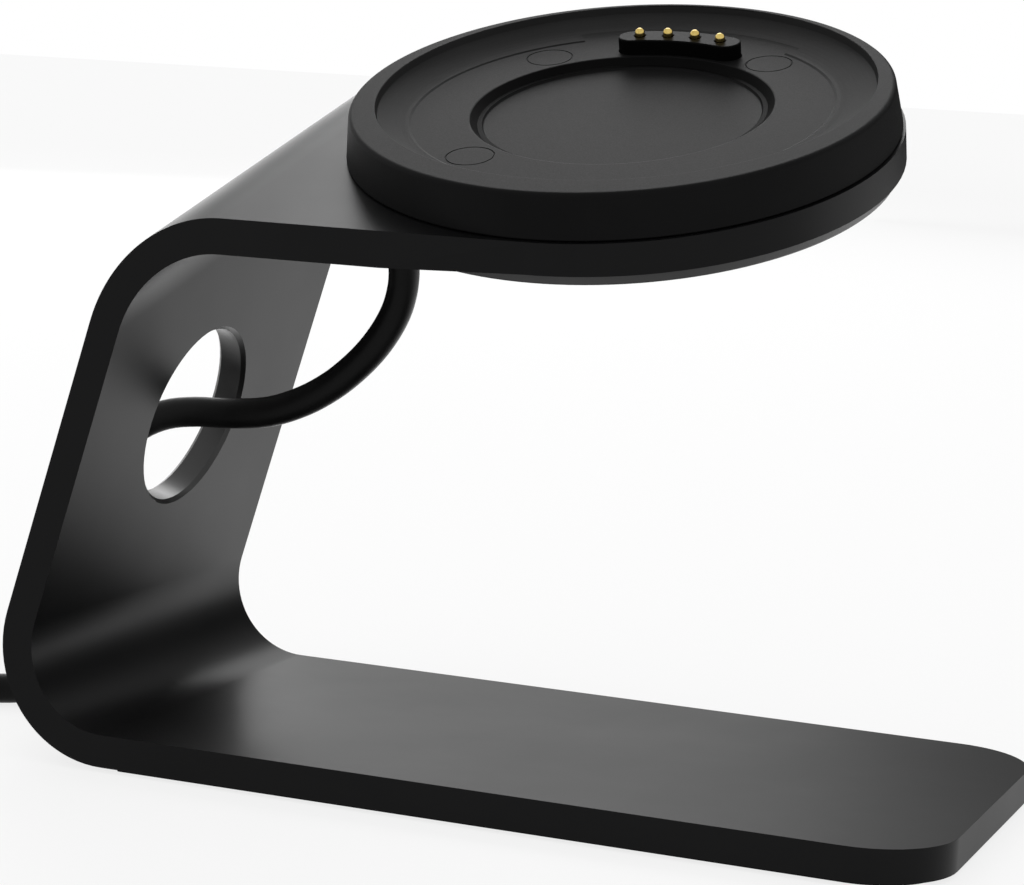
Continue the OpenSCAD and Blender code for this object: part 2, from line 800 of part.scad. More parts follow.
// Plastic tongue that fills the lower half of the shell
module plug_tongue() {
    color(moulding_colour)
        at_plug()
            translate([sleeve_len + plug_len + 0.4, -shell_w / 2 + sheet_t + tongue_gap, -shell_h / 2 + sheet_t + 0.02])
                cube([shell_len - 1, shell_w - 2 * (sheet_t + tongue_gap), tongue_h]);
}

module plug_contacts() {
    contact_l = 7;
    contact_w = 1.2;
    pitches = [-3.5, -1, 1, 3.5];
    color(gold_colour)
        at_plug()
            for (y = pitches)
                translate([sleeve_len + plug_len + 2, y - contact_w / 2, -shell_h / 2 + sheet_t + 0.02 + tongue_h])
                    cube([contact_l, contact_w, 0.2]);
}

stand();
base_pad();
cradle();
contact_block();
contact_pin_1();
contact_pin_2();
contact_pin_3();
contact_pin_4();
pin_barrels();
contact_spring_1();
contact_spring_2();
contact_spring_3();
contact_spring_4();
circuit_board();
board_chips();
magnets();
bottom_cover();
cover_screws();
strain_relief();
charging_cable();
cable_coil();
cable_tie();
plug_lead();
plug_sleeve();
plug_housing();
plug_shell();
plug_tongue();
plug_contacts();
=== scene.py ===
"""Looks of a smartwatch charging dock: a bent satin plate, a moulded cradle and one limp cable."""

import json
import math

import bmesh
import bpy
import numpy as np
from mathutils import Matrix, Vector


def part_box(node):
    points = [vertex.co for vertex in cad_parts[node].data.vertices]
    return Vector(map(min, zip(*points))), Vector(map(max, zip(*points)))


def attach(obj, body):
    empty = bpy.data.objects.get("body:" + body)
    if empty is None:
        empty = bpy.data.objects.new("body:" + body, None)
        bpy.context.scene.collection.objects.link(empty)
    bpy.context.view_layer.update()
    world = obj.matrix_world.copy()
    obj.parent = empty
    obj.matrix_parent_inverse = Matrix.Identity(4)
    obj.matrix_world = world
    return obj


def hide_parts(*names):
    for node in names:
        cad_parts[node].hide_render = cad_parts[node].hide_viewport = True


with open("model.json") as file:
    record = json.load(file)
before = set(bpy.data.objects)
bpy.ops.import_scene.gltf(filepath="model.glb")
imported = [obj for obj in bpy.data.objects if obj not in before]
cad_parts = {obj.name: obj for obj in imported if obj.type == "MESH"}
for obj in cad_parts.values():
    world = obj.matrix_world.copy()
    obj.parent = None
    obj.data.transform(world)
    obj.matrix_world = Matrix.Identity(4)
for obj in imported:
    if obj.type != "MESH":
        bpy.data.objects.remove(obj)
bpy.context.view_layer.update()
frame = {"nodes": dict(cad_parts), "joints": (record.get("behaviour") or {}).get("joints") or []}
NODES = frame["nodes"]
MM = 0.001

# Photograph's frame and the camera fitted to its edges
PHOTO_W = 1024
PHOTO_H = 885
CAMERA_AT = Vector((104.6, -282.7, 74.3)) * MM
CAMERA_YAW = -0.369
CAMERA_PITCH = -0.137
CAMERA_ROLL = 0.051
CAMERA_LENS = 108.0

# Frame of the arm, from the way the contacts are pressed and from the round board's middle
BOARD_T = 1.0 * MM
BOARD_DOWN = 0.5 * MM
ARM_UP = -Vector(frame["joints"][0]["axis"]).normalized()


def middle(node):
    low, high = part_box(node)
    return (low + high) / 2


def arm_frame():
    """Origin at the disc's centre on the arm's top face, Z square to the arm, X along it."""
    along = Vector((1, 0, 0))
    back = ARM_UP.cross(along)
    turn = Matrix((along, back, ARM_UP)).transposed().to_4x4()
    return Matrix.Translation(middle("circuit_board") + ARM_UP * (BOARD_DOWN + BOARD_T / 2)) @ turn


ARM = arm_frame()


def aim_camera():
    cos_p = math.cos(CAMERA_PITCH)
    ahead = Vector((cos_p * math.sin(CAMERA_YAW), cos_p * math.cos(CAMERA_YAW), math.sin(CAMERA_PITCH)))
    right = ahead.cross(Vector((0, 0, 1))).normalized()
    up = right.cross(ahead)
    cos_r, sin_r = math.cos(CAMERA_ROLL), math.sin(CAMERA_ROLL)
    axis_x = cos_r * right + sin_r * up
    axis_y = cos_r * up - sin_r * right
    camera = bpy.data.objects.new("camera", bpy.data.cameras.new("camera"))
    camera.data.sensor_fit = "HORIZONTAL"
    camera.data.sensor_width = 36.0
    camera.data.lens = CAMERA_LENS
    camera.data.clip_start = 0.01
    camera.data.clip_end = 20
    turn = Matrix((axis_x, axis_y, -ahead)).transposed().to_4x4()
    camera.matrix_world = Matrix.Translation(CAMERA_AT) @ turn
    bpy.context.scene.collection.objects.link(camera)
    bpy.context.scene.camera = camera


# Mesh helpers

def new_piece(name, mesh, material, smooth_angle=35):
    piece = bpy.data.objects.new(name, mesh)
    bpy.context.scene.collection.objects.link(piece)
    mesh.materials.clear()
    mesh.materials.append(material)
    mesh.shade_smooth()
    mesh.set_sharp_from_angle(angle=math.radians(smooth_angle))
    return piece


def mesh_from(name, points, faces):
    mesh = bpy.data.meshes.new(name)
    mesh.from_pydata([tuple(p) for p in points], [], faces)
    mesh.update()
    return mesh


def turned(name, section, sides, frame_of=ARM):
    """Body turned round a frame's Z axis from a closed half section, given in millimetres."""
    points, faces, rings = [], [], []
    for r, z in section:
        if r < 1e-6:
            rings.append([len(points)] * sides)
            points.append(frame_of @ Vector((0, 0, z * MM)))
            continue
        rings.append(list(range(len(points), len(points) + sides)))
        for k in range(sides):
            a = 2 * math.pi * k / sides
            points.append(frame_of @ Vector((r * MM * math.cos(a), r * MM * math.sin(a), z * MM)))
    for low, high in zip(rings, rings[1:] + rings[:1]):
        for k in range(sides):
            n = (k + 1) % sides
            loop = [low[k], low[n], high[n], high[k]]
            face = [v for i, v in enumerate(loop) if v not in loop[:i]]
            if len(face) > 2:
                faces.append(face)
    mesh = mesh_from(name, points, faces)
    return outward(mesh)


def outward(mesh):
    work = bmesh.new()
    work.from_mesh(mesh)
    bmesh.ops.remove_doubles(work, verts=work.verts, dist=1e-7)
    bmesh.ops.recalc_face_normals(work, faces=work.faces)
    work.to_mesh(mesh)
    work.free()
    return mesh


def rounded(section, radius, steps=4):
    """Closed section with its corners rounded. radius is one number, or one for each corner."""
    count = len(section)
    out = []
    for i, corner in enumerate(section):
        r = radius[i] if isinstance(radius, (list, tuple)) else radius
        here, last, after = Vector(corner), Vector(section[i - 1]), Vector(section[(i + 1) % count])
        a, b = last - here, after - here
        if r < 1e-6 or corner[0] < 1e-6 or a.length < 1e-6 or b.length < 1e-6:
            out.append(tuple(here))
            continue
        half = a.angle(b) / 2
        cut = min(r / max(math.tan(half), 1e-3), 0.45 * a.length, 0.45 * b.length)
        start, end = here + a.normalized() * cut, here + b.normalized() * cut
        for k in range(steps + 1):
            t = k / steps
            out.append(tuple((1 - t) ** 2 * start + 2 * t * (1 - t) * here + t * t * end))
    return out


def swept(name, line, radius, sides=20):
    """Closed round tube along a list of points in metres."""
    points = [Vector(p) for p in line]
    headings = []
    for i in range(len(points)):
        headings.append((points[min(i + 1, len(points) - 1)] - points[max(i - 1, 0)]).normalized())
    side = headings[0].orthogonal().normalized()
    verts, faces = [], []
    for point, heading in zip(points, headings):
        side = (side - side.dot(heading) * heading).normalized()
        across = heading.cross(side)
        for k in range(sides):
            a = 2 * math.pi * k / sides
            verts.append(point + radius * (math.cos(a) * side + math.sin(a) * across))
    for i in range(len(points) - 1):
        for k in range(sides):
            n = (k + 1) % sides
            faces.append([i * sides + k, i * sides + n, (i + 1) * sides + n, (i + 1) * sides + k])
    faces.append(list(range(sides))[::-1])
    faces.append([(len(points) - 1) * sides + k for k in range(sides)])
    return outward(mesh_from(name, verts, faces))


def flowing(points, steps):
    """Smooth curve through the points, with steps pieces between neighbours."""
    p = [Vector(q) for q in points]
    p = [2 * p[0] - p[1]] + p + [2 * p[-1] - p[-2]]
    out = []
    for i in range(1, len(p) - 2):
        for k in range(steps):
            t = k / steps
            a, b, c, d = p[i - 1:i + 3]
            out.append(0.5 * (2 * b + (c - a) * t + (2 * a - 5 * b + 4 * c - d) * t ** 2
                              + (3 * b - a - 3 * c + d) * t ** 3))
    return out + [p[-2]]


def bevelled(piece, width, segments, angle=32):
    bevel = piece.modifiers.new("edges", "BEVEL")
    bevel.width = width
    bevel.segments = segments
    bevel.limit_method = "ANGLE"
    bevel.angle_limit = math.radians(angle)
    bevel.harden_normals = False
    level = piece.modifiers.new("shading", "WEIGHTED_NORMAL")
    level.keep_sharp = True
    return piece


def prism(name, outline, low, high, spread=1.0):
    """Prism over a closed outline, in millimetres. Its top is the outline times spread."""
    count = len(outline)
    points = [ARM @ (Vector((x * k, y * k, z)) * MM) for z, k in ((low, 1), (high, spread)) for x, y in outline]
    faces = [list(range(count))[::-1], list(range(count, 2 * count))]
    for k in range(count):
        n = (k + 1) % count
        faces.append([k, n, count + n, count + k])
    return outward(mesh_from(name, points, faces))


def arc_outline(r, half_width, start, end, steps=24):
    """Outline of an arc-shaped bar with round ends. Angles are in degrees."""
    a0, a1 = math.radians(start), math.radians(end)
    out = [((r + half_width) * math.cos(a), (r + half_width) * math.sin(a)) for a in np.linspace(a0, a1, steps)]
    cap = [a1 + t for t in np.linspace(0, math.pi, 14)[1:-1]]
    out += [(r * math.cos(a1) + half_width * math.cos(t), r * math.sin(a1) + half_width * math.sin(t)) for t in cap]
    out += [((r - half_width) * math.cos(a), (r - half_width) * math.sin(a)) for a in np.linspace(a1, a0, steps)]
    cap = [a0 + math.pi + t for t in np.linspace(0, math.pi, 14)[1:-1]]
    out += [(r * math.cos(a0) + half_width * math.cos(t), r * math.sin(a0) + half_width * math.sin(t)) for t in cap]
    return out


def cut_by(piece, meshes):
    """Cuts the meshes out of the piece."""
    for mesh in meshes:
        tool = bpy.data.objects.new(mesh.name, mesh)
        bpy.context.scene.collection.objects.link(tool)
        cut = piece.modifiers.new("cut", "BOOLEAN")
        cut.operation = "DIFFERENCE"
        cut.solver = "EXACT"
        cut.object = tool
        bpy.context.view_layer.update()
        baked(piece)
        bpy.data.objects.remove(tool)
    return piece


def shade_from_flats(piece, level, smooth_angle=38):
    """Smooth shading in which faces square to a direction stay flat and the fillets turn away from them."""
    mesh = piece.data
    mesh.shade_smooth()
    limit = math.cos(math.radians(smooth_angle))
    flat = [abs(face.normal.dot(level)) > 0.99995 for face in mesh.polygons]
    around = [[] for _ in mesh.vertices]
    for face in mesh.polygons:
        for v in face.vertices:
            around[v].append(face.index)
    normals = []
    for face in mesh.polygons:
        for v in face.vertices:
            if flat[face.index]:
                normals.append(face.normal.copy())
                continue
            near = [mesh.polygons[i] for i in around[v] if mesh.polygons[i].normal.dot(face.normal) > limit]
            leading = [other for other in near if flat[other.index]]
            total = Vector()
            for other in leading or near:
                total += other.normal * other.area
            normals.append(total.normalized() if total.length > 0 else face.normal.copy())
    mesh.normals_split_custom_set(normals)


def copy_of(node, name, material, merge=0.03 * MM, smooth_angle=35):
    """Copy of a CAD node's mesh with its corners joined and its flat faces cleaned."""
    mesh = NODES[node].data.copy()
    work = bmesh.new()
    work.from_mesh(mesh)
    bmesh.ops.remove_doubles(work, verts=work.verts, dist=merge)
    bmesh.ops.dissolve_degenerate(work, edges=work.edges, dist=merge / 4)
    bmesh.ops.dissolve_limit(work, angle_limit=math.radians(0.4), verts=work.verts, edges=work.edges)
    bmesh.ops.recalc_face_normals(work, faces=work.faces)
    work.to_mesh(mesh)
    work.free()
    return new_piece(name, mesh, material, smooth_angle)


def baked(piece):
    """Applies the piece's modifiers."""
    bpy.context.view_layer.update()
    graph = bpy.context.evaluated_depsgraph_get()
    mesh = bpy.data.meshes.new_from_object(piece.evaluated_get(graph))
    piece.modifiers.clear()
    piece.data = mesh
    return piece


# Materials

class Finish:
    """Small helper that adds and joins nodes of one material."""

    def __init__(self, name):
        self.material = bpy.data.materials.new(name)
        self.material.use_nodes = True
        self.tree = self.material.node_tree
        self.tree.nodes.clear()
        self.out = self.tree.nodes.new("ShaderNodeOutputMaterial")
        self.shader = self.tree.nodes.new("ShaderNodeBsdfPrincipled")
        self.join(self.shader.outputs[0], self.out.inputs["Surface"])
        self.place = self.tree.nodes.new("ShaderNodeTexCoord").outputs["Object"]

    def join(self, start, end):
        self.tree.links.new(start, end)

    def set(self, **values):
        for key, value in values.items():
            self.shader.inputs[key.replace("_", " ")].default_value = value
        return self

    def noise(self, scale, detail=3.0, roughness=0.55, stretch=None):
        place = self.place
        if stretch:
            mapping = self.tree.nodes.new("ShaderNodeMapping")
            mapping.inputs["Scale"].default_value = stretch
            self.join(place, mapping.inputs["Vector"])
            place = mapping.outputs["Vector"]
        noise = self.tree.nodes.new("ShaderNodeTexNoise")
        noise.inputs["Scale"].default_value = scale
        noise.inputs["Detail"].default_value = detail
        noise.inputs["Roughness"].default_value = roughness
        self.join(place, noise.inputs["Vector"])
        return noise.outputs["Fac"]

    def between(self, value, low, high):
        """Maps a 0.3 to 0.7 pattern to a number from low to high."""
        node = self.tree.nodes.new("ShaderNodeMapRange")
        node.inputs["From Min"].default_value = 0.3
        node.inputs["From Max"].default_value = 0.7
        node.inputs["To Min"].default_value = low
        node.inputs["To Max"].default_value = high
        self.join(value, node.inputs["Value"])
        return node.outputs["Result"]

    def shades(self, value, dark, light):
        ramp = self.tree.nodes.new("ShaderNodeValToRGB")
        ramp.color_ramp.elements[0].position = 0.3
        ramp.color_ramp.elements[0].color = (*dark, 1)
        ramp.color_ramp.elements[1].position = 0.7
        ramp.color_ramp.elements[1].color = (*light, 1)
        self.join(value, ramp.inputs["Fac"])
        return ramp.outputs["Color"]

    def bump(self, value, height, strength=1.0, under=None):
        node = self.tree.nodes.new("ShaderNodeBump")
        node.inputs["Strength"].default_value = strength
        node.inputs["Distance"].default_value = height
        self.join(value, node.inputs["Height"])
        if under is not None:
            self.join(under, node.inputs["Normal"])
        return node.outputs["Normal"]


def satin_plate():
    """Bead-blasted metal under a thin satin black coat."""
    f = Finish("satin_black_plate")
    grain = f.noise(9000, 2.0)
    cloud = f.noise(60, 3.0)
    f.set(IOR=1.5, Specular_IOR_Level=0.1)
    f.join(f.shades(cloud, (0.0035, 0.0035, 0.0037), (0.0048, 0.0048, 0.005)), f.shader.inputs["Base Color"])
    f.join(f.between(cloud, 0.37, 0.41), f.shader.inputs["Roughness"])
    f.join(f.bump(grain, 0.006 * MM, 0.35), f.shader.inputs["Normal"])
    return f.material


def matt_moulding(name, dark, light, rough=0.54, grain_scale=7000, gloss=0.05):
    """Moulded plastic with a fine spark-eroded grain."""
    f = Finish(name)
    grain = f.noise(grain_scale, 3.0, 0.6)
    cloud = f.noise(90, 3.0)
    f.set(IOR=1.5, Specular_IOR_Level=gloss)
    f.join(f.shades(cloud, dark, light), f.shader.inputs["Base Color"])
    f.join(f.between(grain, rough - 0.04, rough + 0.05), f.shader.inputs["Roughness"])
    f.join(f.bump(grain, 0.010 * MM, 0.4), f.shader.inputs["Normal"])
    return f.material


def soft_jacket(name, dark, light, rough=0.45):
    """Extruded soft jacket: a faint long-wave waviness and a fine matt skin."""
    f = Finish(name)
    skin = f.noise(5000, 3.0)
    wave = f.noise(220, 2.0)
    f.set(IOR=1.48, Specular_IOR_Level=0.1, Sheen_Weight=0.02, Sheen_Roughness=0.5)
    f.join(f.shades(wave, dark, light), f.shader.inputs["Base Color"])
    f.join(f.between(wave, rough - 0.05, rough + 0.05), f.shader.inputs["Roughness"])
    f.join(f.bump(skin, 0.008 * MM, 0.35, f.bump(wave, 0.03 * MM, 0.3)), f.shader.inputs["Normal"])
    return f.material


def metal(name, dark, light, rough, scratch=0.06):
    f = Finish(name)
    fine = f.noise(6000, 2.0, stretch=(1, 1, 0.2))
    cloud = f.noise(2500, 3.0)
    f.set(Metallic=1.0)
    f.join(f.shades(cloud, dark, light), f.shader.inputs["Base Color"])
    f.join(f.between(cloud, rough - 0.04, rough + 0.06), f.shader.inputs["Roughness"])
    f.join(f.bump(fine, 0.002 * MM, scratch), f.shader.inputs["Normal"])
    return f.material


def solder_mask():
    f = Finish("green_solder_mask")
    cloud = f.noise(300, 3.0)
    f.set(Coat_Weight=0.5, Coat_Roughness=0.15)
    f.join(f.shades(cloud, (0.012, 0.07, 0.03), (0.02, 0.10, 0.045)), f.shader.inputs["Base Color"])
    f.join(f.between(cloud, 0.3, 0.4), f.shader.inputs["Roughness"])
    return f.material


PLATE = satin_plate()
MOULDING = matt_moulding("fine_grain_moulding", (0.0042, 0.0042, 0.0043), (0.0055, 0.0055, 0.0056))
# Lighter, glossier grey for the bottom cover, so that its side shows as a pale strip under the disc: a painted
# reflection.
COVER_REFLECTION_GREY = matt_moulding("cover_moulding", (0.028, 0.028, 0.028), (0.035, 0.035, 0.035), 0.5, 7000, 0.5)
BLOCK = matt_moulding("contact_block_plastic", (0.0015, 0.0015, 0.0015), (0.0022, 0.0022, 0.0022), 0.42, 7000, 0.02)
# Lighter, glossier black given only to the walls of the plate's cable hole: a painted highlight.
HOLE_WALL_HIGHLIGHT = matt_moulding("cut_edge_coat", (0.005, 0.005, 0.005), (0.007, 0.007, 0.007), 0.34, 9000, 0.55)
# Darker, less glossy black for the well's wall round the middle: painted shade.
WELL_WALL_SHADE = matt_moulding("well_wall", (0.003, 0.003, 0.003), (0.004, 0.004, 0.004), 0.5, 7000, 0.012)
# Lighter, less glossy grey for the bank between the rim and the seat's floor: painted light.
BANK_LIGHT = matt_moulding("bank_moulding", (0.018, 0.018, 0.018), (0.021, 0.021, 0.021), 0.56, 7000, 0.03)
PAD = soft_jacket("soft_pad", (0.012, 0.012, 0.012), (0.018, 0.018, 0.018), 0.7)
JACKET = soft_jacket("cable_jacket", (0.004, 0.004, 0.004), (0.006, 0.006, 0.006), 0.42)
PLUG_BLACK = matt_moulding("plug_moulding", (0.012, 0.012, 0.012), (0.017, 0.017, 0.017), 0.36, 5000)
CHIP = matt_moulding("chip_housing", (0.015, 0.015, 0.016), (0.02, 0.02, 0.021), 0.5)
GOLD = metal("gold_plating", (0.50, 0.36, 0.10), (0.66, 0.50, 0.17), 0.17)
STEEL = metal("plated_steel", (0.60, 0.60, 0.61), (0.66, 0.66, 0.68), 0.24)
BOARD = solder_mask()

FINISHES = {
    "stand": PLATE, "base_pad": PAD, "cradle": MOULDING, "contact_block": BLOCK,
    "pin_barrels": GOLD, "circuit_board": BOARD, "board_chips": CHIP, "magnets": STEEL,
    "bottom_cover": COVER_REFLECTION_GREY, "cover_screws": STEEL, "strain_relief": JACKET, "charging_cable": JACKET,
    "cable_coil": JACKET, "cable_tie": PAD, "plug_lead": JACKET, "plug_sleeve": JACKET,
    "plug_housing": PLUG_BLACK, "plug_shell": STEEL, "plug_tongue": CHIP, "plug_contacts": GOLD,
}


def dress_nodes():
    for name, node in NODES.items():
        finish = FINISHES.get(name, STEEL if name.startswith("contact_spring") else GOLD)
        node.data.materials.clear()
        node.data.materials.append(finish)


# Cable

CABLE_D = 3.1
ROUTE = [
    (-15.2, -5.9, 52.4), (-15.2, -5.2, 50.6), (-15.3, -4.5, 48.8), (-15.7, -3.9, 46.9),
    (-16.4, -3.5, 44.9), (-17.5, -3.4, 42.8), (-19.0, -3.4, 40.7), (-20.9, -3.4, 38.7),
    (-23.2, -3.4, 36.8), (-26.2, -3.4, 35.0), (-29.9, -3.4, 33.6), (-34.2, -3.4, 33.0),
    (-38.2, -3.4, 32.8), (-41.6, -3.4, 32.2), (-44.6, -3.4, 30.8), (-47.0, -3.4, 28.6),
    (-48.6, -3.4, 25.8), (-49.3, -3.4, 22.6), (-49.5, -3.4, 18.0), (-49.6, -3.4, 13.5),
    (-49.8, -3.4, 9.9), (-50.9, -3.5, 6.2), (-53.2, -3.9, 3.4), (-56.3, -4.6, 1.9),
    (-59.9, -6.2, 1.6), (-63.6, -8.6, 1.6), (-67.6, -11.3, 1.6), (-71.4, -14.0, 1.6),
    (-75.4, -16.8, 1.6)]
COIL_CENTRE = Vector((-92.5, -1, 0))
COIL_D = 33
COIL_TURNS = 4.1
TURN_PITCH = 3.2
CLIMB_IN = 1.6
COIL_ENTRY = 305
COIL_LEAVE = 270
OUTER_TURN = (COIL_D + COIL_TURNS * TURN_PITCH) / 2
TAIL = [(-1, 4.75), (-4, 4.75), (-7, 4.4), (-10, 3.9), (-13, 3.5), (-16, 3.5)]


def coil_line(steps=48):
    """Turns inwards on the table, a climb at the middle, and turns outwards on top."""
    low, high = CABLE_D / 2, CABLE_D / 2 + TURN_PITCH
    total = 9 + (COIL_ENTRY - COIL_LEAVE) / 360
    climb_turns = total - 2 * COIL_TURNS
    count = round(total * steps)
    out = []
    for k in range(count + 1):
        turn = total * k / count
        climb = min(max((turn - COIL_TURNS) / climb_turns, 0), 1)
        inwards = min(turn, COIL_TURNS) - max(turn - COIL_TURNS - climb_turns, 0)
        r = OUTER_TURN - inwards * TURN_PITCH - CLIMB_IN * math.sin(math.pi * climb)
        z = low + (high - low) * climb * climb * (3 - 2 * climb)
        a = math.radians(COIL_ENTRY) - 2 * math.pi * turn
        out.append(COIL_CENTRE + Vector((r * math.cos(a), r * math.sin(a), z)))
    return out


def cable_path():
    coil = coil_line()
    tail = [Vector((coil[-1].x + x, coil[-1].y, z)) for x, z in TAIL]
    line = flowing(ROUTE, 4) + coil + flowing(tail, 3)
    return [p * MM for p in line]


def make_cable():
    line = cable_path()
    cable = new_piece("cable", swept("cable", line, CABLE_D / 2 * MM), JACKET)
    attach(cable, "dock")
    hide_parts("charging_cable", "cable_coil", "plug_lead")
    return cable


# Stand, cradle and cover

STAND_MIDDLE = -3.4
HOLE_AXIS = Vector((math.cos(math.radians(15.6)), 0, -math.sin(math.radians(15.6))))


def make_stand():
    stand = copy_of("stand", "bent_plate", PLATE)
    bevelled(stand, 0.28 * MM, 3)
    baked(stand)
    # The cable hole's walls take the lighter, glossier black: a painted highlight.
    stand.data.materials.append(HOLE_WALL_HIGHLIGHT)
    for face in stand.data.polygons:
        place = face.center / MM
        near = abs(place.y - STAND_MIDDLE) < 9.8 and 20 < place.z < 50 and place.x < -20
        if near and abs(face.normal.dot(HOLE_AXIS)) < 0.9:
            face.material_index = 1
    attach(stand, "dock")
    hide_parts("stand")


# Cradle sizes in millimetres, from the arm's top face and the disc's axis
RIM_H = 4.5
FLOOR_H = 2.8
WELL_H = 1.9
SHELL_T = 1.0
FOOT_R = 26.95
RIM_R = 26.35
RIM_INNER_R = 24.3
RIM_SHIFT = 1.3
STEP_DEPTH = 0.75
FLOOR_R = 20.6
EDGE_BEAD = 0.1
WELL_R = 14.8
WELL_FLOOR_R = 13.6
WELL_LEDGE = 0.22
SPIGOT_R = 21.35
GROOVE_H = 0.14
GROOVE_IN = 0.35
CONTACT_R = 16.8
CONTACT_ANGLE = 88
BLOCK_W = 3.0
CONTACT_STEP = math.degrees(2.9 / CONTACT_R)
BLOCK_HALF = 1.5 * CONTACT_STEP + math.degrees((2.2 - BLOCK_W / 2) / CONTACT_R)
POCKET_R = 21.9
POCKET_ANGLES = (57, 120)
MARKS = ((17.75, 54), (17.6, 134), (17.75, 236))
MARK_R = 2.3
MARK_W = 0.08


def bank(steps=7):
    """Hollow curve from the step under the rim down to the seat's floor."""
    top_r, top_h = RIM_INNER_R - 0.12, RIM_H - STEP_DEPTH
    foot_r, foot_h = FLOOR_R + 0.45, FLOOR_H + EDGE_BEAD
    line = []
    for k in range(steps + 1):
        t = 1 - k / steps
        line.append((foot_r + (top_r - foot_r) * t, foot_h + (top_h - foot_h) * t ** 1.6))
    return line


def cradle_section():
    corners = [
        ((0, WELL_H - SHELL_T), 0), ((WELL_FLOOR_R + SHELL_T, WELL_H - SHELL_T), 0.2),
        ((WELL_FLOOR_R + SHELL_T, FLOOR_H - SHELL_T), 0.2), ((SPIGOT_R - SHELL_T, FLOOR_H - SHELL_T), 0.3),
        ((SPIGOT_R - SHELL_T, -1.5), 0.15), ((SPIGOT_R, -1.5), 0.2), ((SPIGOT_R, 0), 0),
        ((FOOT_R - GROOVE_IN, 0), 0.05), ((FOOT_R - GROOVE_IN, GROOVE_H), 0.1), ((FOOT_R, GROOVE_H), 0.2),
        ((RIM_R, RIM_H), 0.5), ((RIM_INNER_R, RIM_H), 0.12)]
    corners += [(point, 0.12) for point in bank()]
    corners += [
        ((FLOOR_R + 0.1, FLOOR_H + EDGE_BEAD), 0.1), ((FLOOR_R - 0.15, FLOOR_H), 0.1),
        ((WELL_R, FLOOR_H), 0.35), ((WELL_R - 0.75, WELL_H + WELL_LEDGE), 0.15),
        ((WELL_FLOOR_R, WELL_H + WELL_LEDGE), 0.08), ((WELL_FLOOR_R - 0.12, WELL_H), 0.1), ((0, WELL_H), 0)]
    return rounded([c for c, _ in corners], [r for _, r in corners], 5)


def shift_rim(mesh):
    """Moves the recess's upper edge back, so that the rim is widest in front."""
    back = ARM.inverted()
    for vertex in mesh.vertices:
        place = back @ vertex.co / MM
        r = math.hypot(place.x, place.y)
        if FLOOR_R + 0.3 < r < RIM_INNER_R + 0.3 and place.z > FLOOR_H + 0.02:
            share = min((r - FLOOR_R) / (RIM_INNER_R - 0.12 - FLOOR_R), 1)
            place.y += RIM_SHIFT * share
            vertex.co = ARM @ (place * MM)


def on_floor(r, degrees, height):
    a = math.radians(degrees)
    return ARM @ Matrix.Translation(Vector((r * math.cos(a), r * math.sin(a), height)) * MM)


def sector(r, start, end, steps=20):
    """Outline of a slice of a disc, in millimetres and degrees."""
    turns = [math.radians(start + (end - start) * k / steps) for k in range(steps + 1)]
    return [(r * 0.5 * math.cos(turns[-1]), r * 0.5 * math.sin(turns[-1])),
            (r * 0.5 * math.cos(turns[0]), r * 0.5 * math.sin(turns[0]))] + \
        [(r * math.cos(a), r * math.sin(a)) for a in turns]


def ring_mark(r, degrees):
    circle = [(MARK_R + MARK_W * math.cos(t), MARK_W * math.sin(t)) for t in np.linspace(0, 2 * math.pi, 9)[:-1]]
    return turned("mark", circle, 48, on_floor(r, degrees, FLOOR_H))


def finish_slopes(cradle):
    """Gives the well's wall a darker, less glossy black, a painted shade, and the bank round the seat a lighter, less
    glossy grey, a painted light.
    """
    cradle.data.materials.append(WELL_WALL_SHADE)
    cradle.data.materials.append(BANK_LIGHT)
    back = ARM.inverted()
    for face in cradle.data.polygons:
        place = back @ face.center / MM
        r = math.hypot(place.x, place.y)
        # Faces of the well's wall: painted shade.
        if WELL_FLOOR_R - 0.05 < r < WELL_R - 0.08 and WELL_H + 0.03 < place.z < FLOOR_H:
            face.material_index = 1
        # Faces of the bank: painted light.
        if FLOOR_R + 0.35 < r < RIM_INNER_R + 1.25 and FLOOR_H + 0.08 < place.z < RIM_H - 0.05:
            face.material_index = 2


def make_cradle():
    mesh = turned("cradle_shell", cradle_section(), 240)
    shift_rim(mesh)
    cradle = new_piece("cradle_shell", mesh, MOULDING)
    slot = prism("slot", arc_outline(CONTACT_R, BLOCK_W / 2 + 0.08, CONTACT_ANGLE - BLOCK_HALF,
                                     CONTACT_ANGLE + BLOCK_HALF), 0.5, 6)
    pocket = prism("pocket", sector(POCKET_R, *POCKET_ANGLES), FLOOR_H, 6, 1.28)
    cut_by(cradle, [slot, pocket] + [ring_mark(r, a) for r, a in MARKS])
    shade_from_flats(cradle, ARM_UP)
    finish_slopes(cradle)
    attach(cradle, "dock")
    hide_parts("cradle")


def make_block():
    block = copy_of("contact_block", "contact_bar", BLOCK, 0.01 * MM)
    bevelled(block, 0.16 * MM, 3)
    baked(block)
    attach(block, "dock")
    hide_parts("contact_block")


def make_cover():
    # The cover takes the lighter grey: a painted reflection.
    cover = copy_of("bottom_cover", "lower_cover", COVER_REFLECTION_GREY)
    bevelled(cover, 0.2 * MM, 3)
    baked(cover)
    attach(cover, "dock")
    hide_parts("bottom_cover")


# Strain relief, plug and small pieces

